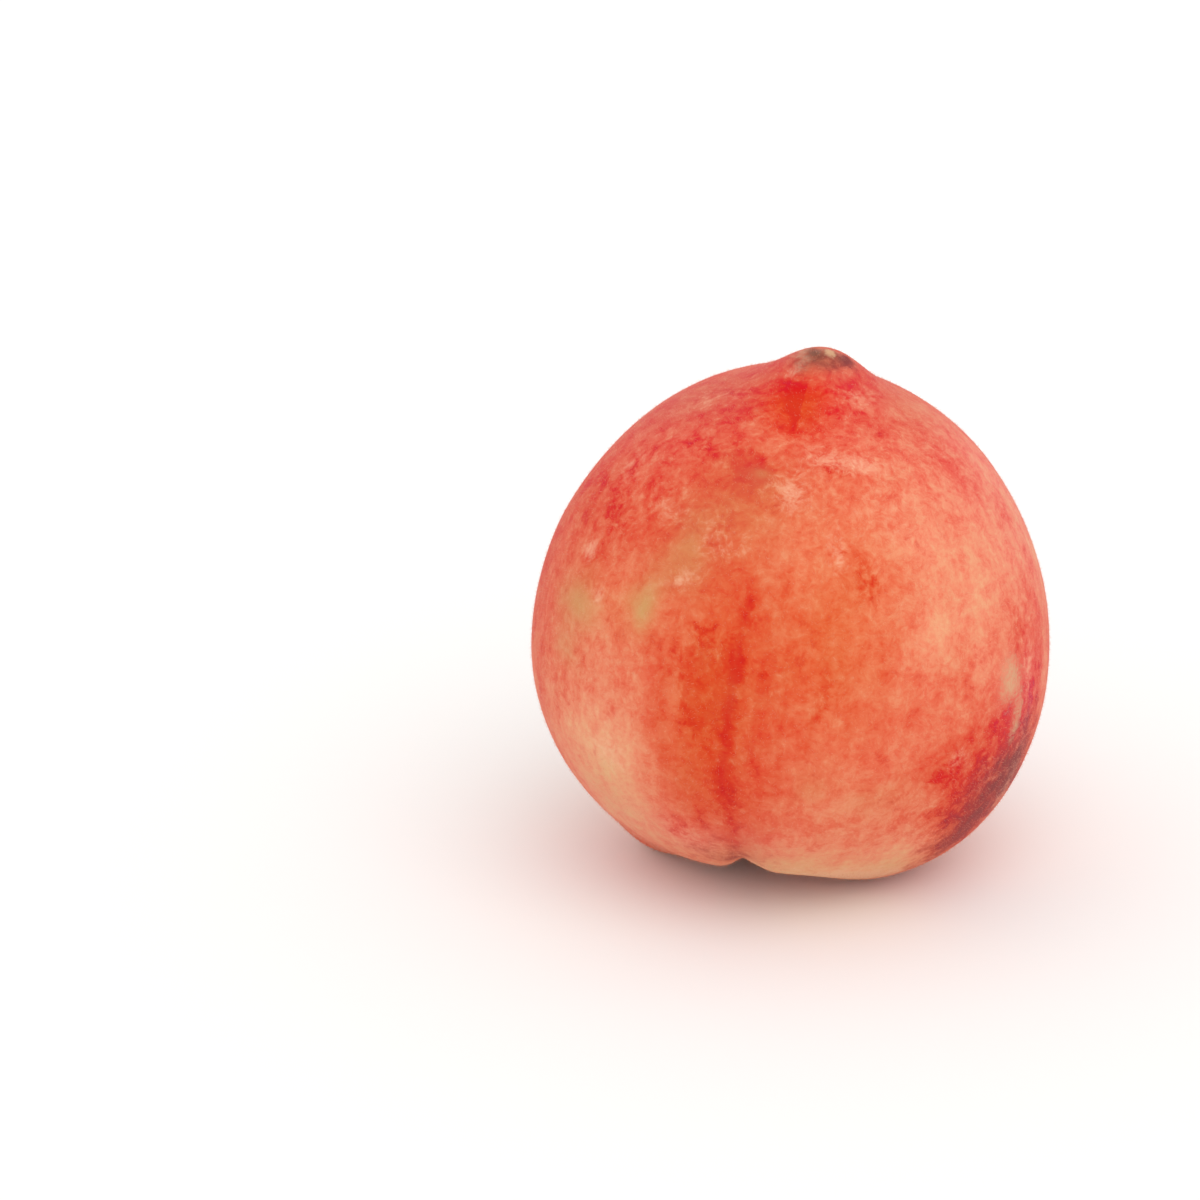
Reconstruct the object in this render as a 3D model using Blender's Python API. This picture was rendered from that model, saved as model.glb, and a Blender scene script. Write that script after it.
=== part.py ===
"""A peach, whole and as picked.

The fruit grew as one piece, so it is one closed solid: a round body with a pointed beak at the top,
a hollow at the foot where the stem was, and a suture running down one side between them.
It stands as it would on a table, on the uneven shoulders round the stem hollow, leaning a little.

Metres, +Z up. The suture's side faces -Y, the beak leans to +X, and the origin is on the table,
under the middle of the fruit's box.
"""

from math import acos, asin, atan2, cos, degrees, exp, hypot, radians, sin

import bmesh
import bpy
from mathutils import Matrix, Vector

# --- The fruit's body: distances from its heart, before the swellings are added -------------------
HALF_WIDTH = 0.0406
HALF_DEPTH = 0.0395
HEART_TO_TOP = 0.0452
HEART_TO_FOOT = 0.0365
WAIST = 0.4

# --- The beak, and the shallow hollow that runs round it ------------------------------------------
BEAK_HEIGHT = 0.0058
BEAK_SPREAD = 10.8
BEAK_HOLLOW_DEPTH = 0.0030
BEAK_HOLLOW_SPREAD = 23.5

# --- The stem hollow at the foot -------------------------------------------------------------------
STEM_HOLLOW_DEPTH = 0.0100
STEM_HOLLOW_SPREAD = 13.0

# --- The suture: a faint valley all the way down, and a groove that deepens towards the stem -------
SUTURE_LONGITUDE_ABOVE = -13.0
SUTURE_LONGITUDE_AT_FOOT = -8.0
SUTURE_DRIFTS = (-10.0, -45.0)
VALLEY_DEPTH = 0.0004
VALLEY_SPREAD = 5.0
GROOVE_DEPTH = 0.0034
GROOVE_SPREAD_LEFT = 3.0
GROOVE_SPREAD_RIGHT = 4.6
GROOVE_DEEPENS = (-31.0, -76.0)
SUTURE_RUNS_OUT = (88.0, 78.0)
SUTURE_SIDE_EDGES = (110.0, 70.0)

# --- Gentle swellings and hollows: longitude, latitude, spread in degrees, and height ---------------
# Longitude 0 faces -Y and grows towards +X; latitude 90 is the beak and -90 the stem hollow.
SWELLINGS = (
    (45, -58, 18, 0.0007),  # right of the suture, low down
    (14, -66, 14, -0.0026),  # beside the suture's foot
    (-40, -66, 16, -0.0006),  # left of the suture, low down
    (72, -40, 24, 0.0021),  # lower right flank, the fullest part
    (-88, 0, 30, -0.0009),  # left cheek
    (110, 40, 25, -0.0008),  # right shoulder
    (-110, 40, 25, -0.0013),  # left shoulder
    (180, 66, 22, 0.0007),  # back of the crown
    (-170, -58, 24, 0.0028),  # back shoulder, which carries the fruit
    (-98, -66, 16, 0.0040),  # left shoulder of the stem hollow, which carries it too
)

# --- How it rests -----------------------------------------------------------------------------------
LEAN = 7.0
REST_FLAT = 0.0006

# --- Fineness of the faces ----------------------------------------------------------------------------
COLUMNS = 72
ROWS = 56
SHARP_ANGLE = 40.0

SKIN_COLOUR = (0.78, 0.20, 0.11, 1.0)
SKIN_ROUGHNESS = 0.8


def direction(longitude, latitude):
    """The unit vector from the heart towards a place on the skin."""
    east, up = radians(longitude), radians(latitude)
    return Vector((cos(up) * sin(east), -cos(up) * cos(east), sin(up)))


def bell(distance, spread):
    """1 in the middle, falling smoothly to nothing a few spreads away."""
    return exp(-((distance / spread) ** 2))


def ramp(value, start, full):
    """0 before start and 1 after full, with a smooth rise between."""
    part = min(1.0, max(0.0, (value - start) / (full - start)))
    return part * part * (3.0 - 2.0 * part)


def suture_longitude(latitude):
    """Where the suture is: it drifts a little to the right on its way down."""
    drift = SUTURE_LONGITUDE_AT_FOOT - SUTURE_LONGITUDE_ABOVE
    return SUTURE_LONGITUDE_ABOVE + drift * ramp(latitude, *SUTURE_DRIFTS)


def suture_depth(turn, latitude):
    """How far the suture sinks the skin, at a turn round the fruit counted from the suture."""
    aside = degrees(asin(cos(radians(latitude)) * sin(radians(turn))))
    on_this_side = ramp(abs(turn), *SUTURE_SIDE_EDGES) * ramp(abs(latitude), *SUTURE_RUNS_OUT)
    valley = VALLEY_DEPTH * bell(aside, VALLEY_SPREAD)
    groove_spread = GROOVE_SPREAD_LEFT if aside < 0.0 else GROOVE_SPREAD_RIGHT
    groove = GROOVE_DEPTH * ramp(latitude, *GROOVE_DEEPENS) * bell(aside, groove_spread)
    return on_this_side * (valley + groove)


def skin_point(turn, latitude):
    """A point of the skin, from the heart, before the fruit leans."""
    towards = direction(turn + suture_longitude(latitude), latitude)
    half_height = HEART_TO_FOOT + (HEART_TO_TOP - HEART_TO_FOOT) * ramp(towards.z, -WAIST, WAIST)
    squashed = Vector((towards.x / HALF_WIDTH, towards.y / HALF_DEPTH, towards.z / half_height))
    distance = 1.0 / squashed.length

    distance += BEAK_HEIGHT * bell(90.0 - latitude, BEAK_SPREAD)
    distance -= BEAK_HOLLOW_DEPTH * bell(90.0 - latitude, BEAK_HOLLOW_SPREAD)
    distance -= STEM_HOLLOW_DEPTH * bell(90.0 + latitude, STEM_HOLLOW_SPREAD)
    for swelling_longitude, swelling_latitude, spread, height in SWELLINGS:
        middle = direction(swelling_longitude, swelling_latitude)
        angle = degrees(acos(min(1.0, max(-1.0, towards.dot(middle)))))
        distance += height * bell(angle, spread)
    return towards * (distance - suture_depth(turn, latitude))


def stand_on_table(mesh):
    """Lean the fruit, centre it over the origin, and flatten the last bit of its foot on the table."""
    bmesh.ops.rotate(mesh, verts=mesh.verts, matrix=Matrix.Rotation(radians(LEAN), 3, "Y"))
    low = [min(vertex.co[axis] for vertex in mesh.verts) for axis in range(3)]
    high = [max(vertex.co[axis] for vertex in mesh.verts) for axis in range(3)]
    move = Vector((-(low[0] + high[0]) / 2, -(low[1] + high[1]) / 2, -low[2] - REST_FLAT))
    bmesh.ops.translate(mesh, verts=mesh.verts, vec=move)
    for vertex in mesh.verts:
        vertex.co.z = max(vertex.co.z, 0.0)


def skin_material():
    """Matt red-orange skin under a fine down."""
    material = bpy.data.materials.new("peach_skin")
    material.use_nodes = True
    shader = material.node_tree.nodes["Principled BSDF"]
    shader.inputs["Base Color"].default_value = SKIN_COLOUR
    shader.inputs["Roughness"].default_value = SKIN_ROUGHNESS
    shader.inputs["Metallic"].default_value = 0.0
    return material


def make_peach():
    """The whole fruit, from a unit sphere whose every vertex is moved to its place on the skin."""
    mesh = bmesh.new()
    bmesh.ops.create_uvsphere(mesh, u_segments=COLUMNS, v_segments=ROWS, radius=1.0)
    # The columns of vertices are counted from the suture, so one of them runs down its bottom.
    for vertex in mesh.verts:
        turn = degrees(atan2(vertex.co.x, -vertex.co.y))
        latitude = degrees(atan2(vertex.co.z, hypot(vertex.co.x, vertex.co.y)))
        vertex.co = skin_point(turn, latitude)
    stand_on_table(mesh)
    bmesh.ops.recalc_face_normals(mesh, faces=mesh.faces)

    data = bpy.data.meshes.new("peach")
    mesh.to_mesh(data)
    mesh.free()
    data.shade_smooth()
    data.set_sharp_from_angle(angle=radians(SHARP_ANGLE))
    data.materials.append(skin_material())
    peach = bpy.data.objects.new("peach", data)
    bpy.context.scene.collection.objects.link(peach)
    return peach


for leftover in list(bpy.data.objects):
    bpy.data.objects.remove(leftover)

make_peach()
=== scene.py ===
"""The looks of a whole peach: its blushed skin, its scars and its down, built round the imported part.

Registered as an add-on, it offers the same steps as buttons in the 3D view's sidebar.

Metres and radians, except in the lists of swellings and markings, whose places and sizes are degrees.
Longitude 0 faces -Y and grows towards +X; latitude 90 degrees is the beak and -90 the stem hollow.
"""

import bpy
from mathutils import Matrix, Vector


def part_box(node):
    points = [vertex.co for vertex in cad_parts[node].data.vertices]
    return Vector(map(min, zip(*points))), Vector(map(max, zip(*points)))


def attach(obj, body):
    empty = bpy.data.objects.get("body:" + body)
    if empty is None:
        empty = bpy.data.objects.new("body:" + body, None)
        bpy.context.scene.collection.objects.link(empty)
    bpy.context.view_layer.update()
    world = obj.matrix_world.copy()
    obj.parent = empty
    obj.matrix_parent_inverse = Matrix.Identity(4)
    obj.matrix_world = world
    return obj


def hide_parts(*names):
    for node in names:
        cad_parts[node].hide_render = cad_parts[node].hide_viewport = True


bl_info = {
    "name": "Downy Peach",
    "version": (1, 0, 0),
    "blender": (4, 5, 0),
    "location": "View3D > Sidebar > Peach",
    "description": "A whole peach with blushed skin, scars and down, on a plain pale stage",
    "category": "Add Mesh",
}

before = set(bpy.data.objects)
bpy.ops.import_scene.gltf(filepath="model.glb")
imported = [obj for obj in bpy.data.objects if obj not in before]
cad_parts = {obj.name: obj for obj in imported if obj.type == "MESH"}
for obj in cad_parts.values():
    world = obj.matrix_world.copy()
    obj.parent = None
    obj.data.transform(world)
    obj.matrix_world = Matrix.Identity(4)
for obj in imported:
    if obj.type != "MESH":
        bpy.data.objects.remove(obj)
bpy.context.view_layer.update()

from math import cos, pi, radians, sin

import bmesh
import bpy
from bpy.props import FloatProperty, FloatVectorProperty, IntProperty, PointerProperty
from mathutils import Matrix, Vector

CAD_LOW, CAD_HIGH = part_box("peach")
BODY = "root"
FLOOR_HALF = 6.0
DOWN_SEED = 7
DOWN_CLEARANCE = 0.0008  # bare skin over the table, so that no hair goes through it
SKIN_MERGE = 1e-6  # closes the seam at the back and both ends
MILLIMETRES = 1000.0

# Latitudes between which the suture's parts change, and how far round the fruit it goes.
SUTURE_DRIFTS = (radians(-10), radians(-45))
GROOVE_DEEPENS = (radians(-31), radians(-76))
CREASE_DEEPENS = (radians(-34), radians(-60))
SUTURE_RUNS_OUT = (radians(88), radians(78))
SUTURE_SIDE_EDGES = (radians(110), radians(70))

# The red line along the suture, and the edge that cuts off the red wedge under the beak.
SEAM_SPREAD = radians(1.5)
SEAM_RUNS_OUT = (radians(44), radians(22))
WEDGE_SLANT = radians(7)
WEDGE_SLANTS = (radians(66), radians(88))
WEDGE_EDGE = (radians(1.5), radians(-1.5))

# The dry scars: how far from their middle each part of them lies, and how broad it is.
BEAK_SCAR = (30.0, 88.4)  # longitude and latitude in degrees
BEAK_PAD_SPREAD = radians(1.5)
BEAK_MOAT = (radians(3.0), radians(1.0))
STEM_RING = (radians(5.0), radians(1.3))
STEM_WOOD_SPREAD = radians(4.0)
STEM_FOLDS = (radians(13.0), radians(6.0))
STEM_FOLD_COUNT = 9.0

# How far the markings' outlines stray, and in what pattern: its scale and its reach.
WANDER = (7.0, 0.10)

# How far the noises stray, in the same way.
DRIFT = (0.25, 2.4)
CURL = (0.9, 0.8)

# The skin's noises, from the coarsest to the finest: how many in a millimetre, their layers of detail and
# how rough they are.
CLOUDS = (0.09, 2.0)
MOTTLE = (0.28, 3.0, 0.55)
SPOTS = (0.8, 3.0, 0.65)
FIBRES = (2.2, 3.0, 0.7)
STREAKS = (1.0, 3.0, 0.55)
STREAK_STRETCH = (0.5, 0.5, 0.08)
GRAIN_RADIUS = 40.0  # of the fruit in millimetres, where the streaks are counted
WAIST_EDGES = (48.0, 22.0)  # how far above and below the waist the streaks end and are full
FULL_BLUSH = 1.2
PINK_TURN = 0.02  # turn of the hue where the skin is fully pink

LEAST_TILT = 0.15
STOUTNESS = (0.7, 1.2)

LAMP_SPREAD = radians(60)
LAMP_TURN = (radians(35), radians(18), 0.0)
SENSOR_WIDTH = 36.0
CAMERA_REACH = 100.0

# The fruit's gentle swellings and hollows: longitude, latitude, spread in degrees, and height in metres.
SWELLINGS = (
    (45, -58, 18, 0.0007),  # right of the suture, low down
    (14, -66, 14, -0.0026),  # beside the suture's foot
    (-40, -66, 16, -0.0006),  # left of the suture, low down
    (72, -40, 24, 0.0021),  # lower right flank, the fullest part
    (-88, 0, 30, -0.0009),  # left cheek
    (110, 40, 25, -0.0008),  # right shoulder
    (-110, 40, 25, -0.0013),  # left shoulder
    (180, 66, 22, 0.0007),  # back of the crown
    (-170, -58, 24, 0.0028),  # back shoulder, which carries the fruit
    (-98, -66, 16, 0.0040),  # left shoulder of the stem hollow, which carries it too
)

# The skin's layers of soft markings: what a layer is everywhere, where that isn't 0, and the ovals that
# add to it. An oval is its longitude, latitude, half width, half height and strength, and if it leans to
# the right, by how much.
LEVELS = {"blush": 0.6, "unrest": 1.0, "ochre": 0.08, "rose": 0.35, "flecks": 0.15}
MARKINGS = {
    # How red the skin is: 0 is the pale ground, 0.6 coral, 0.8 red-orange, 1 scarlet, 1.2 crimson.
    "blush": (
        (0, 90, 18, 18, 0.24),  # crown
        (-22, 76, 9, 6, 0.1),  # under the beak
        (-42, 78, 24, 6, 0.12),
        (-70, 58, 34, 26, 0.2),  # left shoulder
        (-87, 38, 12, 12, 0.14),
        (-62, 34, 12, 6, 0.12),
        (-25, 55, 7, 6, 0.14),  # high up, left of the suture
        (-29, 46, 7, 6, 0.1),
        (-16, 4, 12, 28, 0.24),  # field round the suture
        (-12, -16, 4, 14, 0.08),
        (-10, -40, 3, 8, 0.24),
        (2, 14, 9, 22, 0.12),  # orange cheek right of the suture
        (14, 30, 8, 14, 0.12),
        (52, 40, 28, 20, -0.2),  # pale right shoulder
        (40, 28, 10, 10, -0.1),
        (5, 56, 18, 8, -0.05),
        (-6, 56, 4, 4, 0.06),
        (-27, 46, 5, 5, 0.06),
        (40, 81, 5, 3, 0.08),
        (-30, 83, 5, 3, -0.08),
        (-48, 77, 6, 3, -0.14),
        (0, 79, 4, 4, -0.05),
        (12, 82, 6, 3, 0.09),
        (-20, 54, 3, 5, 0.1),
        (-55, 63, 8, 4, 0.1),
        (7, 62, 4, 4, 0.08),
        (-22, 37, 4, 4, 0.1),
        (-21, 17, 4, 4, 0.09),
        (7, 20, 3, 6, 0.1),
        (61, -5, 5, 5, 0.45),
        (17, 68, 4, 3, -0.12),
        (39, 58, 5, 3, -0.06),
        (-80, 46, 4, 5, -0.12),
        (32, 12, 4, 4, -0.07),
        (47, 20, 4, 4, -0.05),
        (34, 40, 4, 5, -0.06),
        (18, -38, 5, 4, -0.11),
        (22, -17, 7, 3, -0.08),
        (-20, -21, 8, 4, 0.07),
        (-22, -30, 8, 4, -0.07),
        (-5, -33, 4, 4, 0.08),
        (-10, -43, 16, 4, 0.05),
        (27, 57, 7, 3, 0.08),
        (-53, 57, 4, 3, -0.1),
        (-38, 63, 4, 3, -0.14),
        (-37, 42, 4, 4, 0.2),
        (-58, 23, 3, 7, 0.1),
        (-30, 31, 5, 5, 0.07),
        (12, 27, 3, 4, -0.08),
        (33, 26, 4, 5, -0.07),
        (-52, 3, 3, 4, 0.1),
        (42, 5, 4, 5, -0.07),
        (27, -8, 3, 3, 0.09),
        (-8, -17, 3, 4, 0.12),
        (49, -37, 5, 4, 0.08),
        (76, 0, 4, 9, -0.09),
        (-13, 76, 3, 4, 0.07),
        (-38, 77, 8, 3, -0.06),
        (-71, 54, 8, 7, -0.07),
        (-84, 35, 4, 5, 0.08),
        (-77, 25, 4, 5, -0.06),
        (-84, 4, 5, 7, 0.1),
        (-5, 14, 4, 6, 0.05),
        (-5, -4, 4, 6, 0.1),
        (40, 65, 12, 6, -0.04),
        (48, 45, 5, 5, 0.05),
        (38, 55, 8, 4, -0.05),
        (48, 12, 6, 7, -0.08),
        (14, -33, 7, 6, -0.07),
        (-45, -14, 14, 18, -0.36),  # pale lower left cheek
        (-38, -36, 14, 14, -0.2),
        (-48, 12, 14, 12, -0.04),
        (86, 50, 9, 28, -0.24),
        (-86, 14, 9, 18, 0.28),
        (-75, 33, 5, 8, 0.1),
        (-52, -37, 8, 6, -0.14),
        (-14, -20, 6, 16, 0.04),
        (-25, -17, 7, 16, 0.07),
        (-26, -33, 5, 6, 0.05),
        (-14, -32, 10, 9, 0.08),
        (-19, -45, 12, 7, 0.12),
        (-5, -30, 5, 16, 0.07),
        (4, 66, 11, 5, -0.14),
        (30, 60, 10, 8, -0.06),
        (-5, 77, 3, 4, -0.12),
        (-12, 70, 3, 4, 0.14),
        (-20, 53, 4, 6, 0.14),
        (-32, 31, 7, 9, 0.09),
        (-60, 22, 5, 6, 0.1),
        (-30, 8, 4, 7, 0.15),
        (-16, -12, 8, 7, 0.1),
        (-30, -28, 5, 6, 0.15),
        (0, 42, 5, 4, -0.08),
        (27, 43, 6, 4, -0.11),
        (65, 55, 5, 7, 0.12),
        (68, 35, 6, 5, -0.1),
        (37, 22, 7, 6, -0.11),
        (21, 19, 4, 8, 0.13),
        (28, 7, 5, 5, 0.09),
        (10, 0, 6, 6, -0.08),
        (12, -17, 8, 7, -0.08),
        (52, -25, 4, 5, 0.1),
        (42, -37, 5, 7, -0.11),
        (5, 14, 13, 7, 0.06),
        (-70, -5, 12, 12, 0.08),
        (-24, 42, 7, 8, 0.1),
        (-14, 28, 6, 9, 0.1),
        (-40, 4, 8, 6, 0.08),
        (10, -32, 12, 12, -0.1),
        (18, -47, 18, 6, -0.24),
        (60, -14, 16, 17, 0.52),  # dark lower right flank
        (47, -14, 7, 11, 0.24),
        (58, -34, 8, 10, 0.4),
        (36, -8, 5, 5, 0.12),
        (77, 7, 4, 6, -0.13),
        (18, -48, 34, 15, -0.42),  # pale foot, right
        (36, -32, 9, 8, -0.14),
        (-150, 10, 34, 44, -0.3),  # side that grew in the shade
        (140, 30, 30, 40, 0.2),  # side that grew in the sun
        (180, -60, 60, 22, -0.22),
        (0, -90, 24, 24, -0.22),
    ),
    # Red patches with ragged edges.
    "stain": (
        (-24, 57, 5, 4, 1.0),  # high up, left of the suture
        (-17, 53, 2.5, 5, 0.6),
        (-36, 57, 4, 4, 0.5),
        (-25, 46, 2.5, 6, 0.65),
        (8, 59, 3, 4, 0.6),
        (-52, 58, 5, 5, 0.5),
        (-71, 31, 2.5, 2.5, 0.8),  # left shoulder
        (-59, 36, 6, 4, 0.65),
        (-74, 40, 8, 4, 0.55),
        (-20, 9, 8, 14, 0.9, 12),  # field left of the suture
        (-14, 14, 2.5, 12, 0.35),
        (-24, -31, 7, 9, 0.45),
        (-16, -20, 6, 11, 0.25),
        (15, 37, 5, 7, 0.58),  # orange cheek
        (6, 10, 4, 12, 0.5),
        (60, 20, 5, 7, 0.6),  # right flank
        (54, 3, 4, 5, 0.65),
        (67, 4, 4, 8, 0.6),
        (37, -8, 4, 4, 0.7),
        (48, -22, 6, 7, 0.5),
        (52, -36, 6, 6, 0.6),
        (150, 30, 20, 14, 0.5, 20),
        (110, 50, 14, 10, 0.45),
        (-140, 55, 16, 10, 0.4),
    ),
    # The same, but ending sharply at the suture, to its left.
    "wedge": (
        (-24, 79, 5, 3.5, 0.85),
        (-18, 75, 3, 3.5, 0.75),
        (-14, 70.5, 1.3, 4, 0.75),
        (-42, 78, 5, 3, 0.15),
    ),
    # How restless the skin's mottling is.
    "unrest": (
        (0, 76, 50, 16, 0.45),
        (-22, 77, 7, 6, -0.7),
        (-55, 45, 20, 16, 0.15),
        (54, -14, 14, 18, 0.7),
        (0, 5, 24, 24, -0.2),
        (-19, 0, 13, 26, -0.35),
        (-22, -32, 14, 10, -0.2),
    ),
    # How much tan-olive ground shows through.
    "ochre": (
        (0, 90, 8, 8, 0.4),
        (-18, 76, 7, 8, -0.3),
        (-86, 66, 14, 16, 0.32),
        (88, 72, 14, 10, 0.25),
        (-30, 42, 10, 14, 0.22),
        (-14, 50, 8, 10, 0.16),
        (-38, 22, 3.5, 6, 0.72),
        (-58, 15, 8, 5, 0.6),
        (-59, 5, 5, 4, 0.25),
        (-20, 56, 2, 1.8, 0.28),
        (-34, 32, 4, 5, 0.25),
        (7, -10, 4, 4, 0.18),
        (22, -14, 8, 5, 0.16),
        (10, -38, 12, 6, 0.1),
        (40, -41, 8, 5, 0.1),
        (-46, -28, 12, 12, 0.2),
        (-9, -38, 9, 9, 0.34),
        (62, -2, 9, 9, 0.1),
        (-30, 36, 3, 7, 0.2, 25),
        (0, -90, 18, 18, 0.25),
        (-160, -20, 30, 30, 0.35),
    ),
    # How pink the colours turn: 0 is orange. At both rims the pink is painted sheen of the down.
    "rose": (
        (0, 90, 12, 12, 0.7),
        (8, 26, 15, 26, -0.45),
        (-18, 5, 10, 26, -0.45),
        (-22, 77, 7, 8, -0.95),
        (-45, 20, 14, 7, -0.25),
        # painted sheen: pink haze of the down at the right rim
        (82, 52, 24, 40, 0.55),
        # painted sheen: pink haze of the down at the left rim
        (-84, 62, 20, 16, 0.65),
        (-46, -32, 14, 12, 0.4),
        (-8, -36, 10, 10, 0.6),
        (-22, -34, 9, 8, 0.35),
        (62, 4, 10, 10, 0.7),
        (22, -46, 24, 7, -0.35),
        (180, 10, 60, 60, 0.2),
    ),
    # Pale flecks where the down lies thick or the skin was rubbed, and a painted sheen of the down on the
    # rim of the dark flank.
    "flecks": (
        (-8, 52, 4.5, 5, 0.58),
        (1, 62, 5, 4, 0.45),
        (18, 61, 5, 3.5, 0.52),
        (20, 50, 9, 6, 0.12),
        (7, 42, 2, 5, 0.4),
        (-61, 27, 2.2, 2.6, 0.75),
        (-52, 20, 2.5, 2, 0.6),
        (-44, 42, 8, 5, 0.28),
        (-31, 30, 4.5, 2.2, 0.45, 35),
        (-24, 39, 5, 4, 0.35),
        (45, 52, 20, 12, 0.1),
        (-52, 84, 1.6, 3, 0.65),  # left of the beak
        (-90, 85.5, 2, 2.5, 0.6),
        (-66, 46, 3, 6, 0.4, 20),
        (-75, 68, 8, 8, 0.25),
        (35, 77, 5, 4, 0.28),
        (28, -47, 17, 7, 0.95),
        (-22, -36, 7, 5, 0.3),
        (-45, -4, 10, 8, 0.2),
        (-42, -15, 8, 5, 0.4),
        (42, -5, 3, 3, 0.45),
        (52, -12, 7, 7, 0.22),
        (64, 10, 3, 12, 0.4),
        (67, -4, 4, 7, 0.15),
        # painted sheen: the down catching light at the rim of the dark flank
        (67, -20, 4, 12, 0.4),
        (170, 40, 30, 24, 0.25),
    ),
    # Wine of the darkest flank, low on the right, partly its own colour and partly painted shade; at its
    # rim the painted sheen in the flecks turns it grey. Also painted shade in the suture's groove and low
    # down beside it, and darker round the beak.
    "wine": (
        # lower right flank: partly its own wine colour, partly painted shade
        (64, -14, 11, 14, 0.82),
        (50, -18, 8, 13, 0.36),
        (56, -34, 8, 10, 0.55),
        # painted shade in the suture's groove and low down beside it, near the stem hollow
        (-13, -22, 6, 14, 0.16),
        (-9, -42, 2.5, 6, 0.2),
        (-15, -42, 14, 7, 0.32),
        (15, 86.8, 4.0, 2.2, 0.42),
        (30, 85, 3.5, 2.5, 0.25),
        (84, 86.3, 2.4, 2.2, 0.9),
    ),
    # Dry tan scars.
    "cork": (
        (56, 10, 5.0, 7, 0.95, -10),  # rubbed on a twig
        (60, 0, 2.6, 8, 0.78, -10),
        (30, 88.4, 1.1, 1.5, 1.3),  # end of the beak
        (-150, 5, 2.2, 6, 0.7, 25),
        (0, -90, 5.5, 5.5, 1.6),  # where the stem was
    ),
    # Brown round the ends of the fruit.
    "bark": (
        (20, 88.6, 2.6, 2.4, 0.2),
        (-88, 88, 2.4, 1.8, 0.35),
        (0, 86.5, 6, 5, 0.4),
        (-80, 85, 6, 3, 0.3),
        (0, -90, 9, 9, 0.8),
    ),
}


class Field:
    """A node's output that takes part in ordinary arithmetic, which adds Math nodes to its tree."""

    def __init__(self, graph, socket):
        self.graph = graph
        self.socket = socket

    def __add__(self, other):
        return self.graph.math("ADD", self, other)

    def __radd__(self, other):
        return self.graph.math("ADD", other, self)

    def __sub__(self, other):
        return self.graph.math("SUBTRACT", self, other)

    def __rsub__(self, other):
        return self.graph.math("SUBTRACT", other, self)

    def __mul__(self, other):
        return self.graph.math("MULTIPLY", self, other)

    def __rmul__(self, other):
        return self.graph.math("MULTIPLY", other, self)

    def __truediv__(self, other):
        return self.graph.math("DIVIDE", self, other)

    def __rtruediv__(self, other):
        return self.graph.math("DIVIDE", other, self)

    def __neg__(self):
        return self.graph.math("MULTIPLY", self, -1.0)


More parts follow.
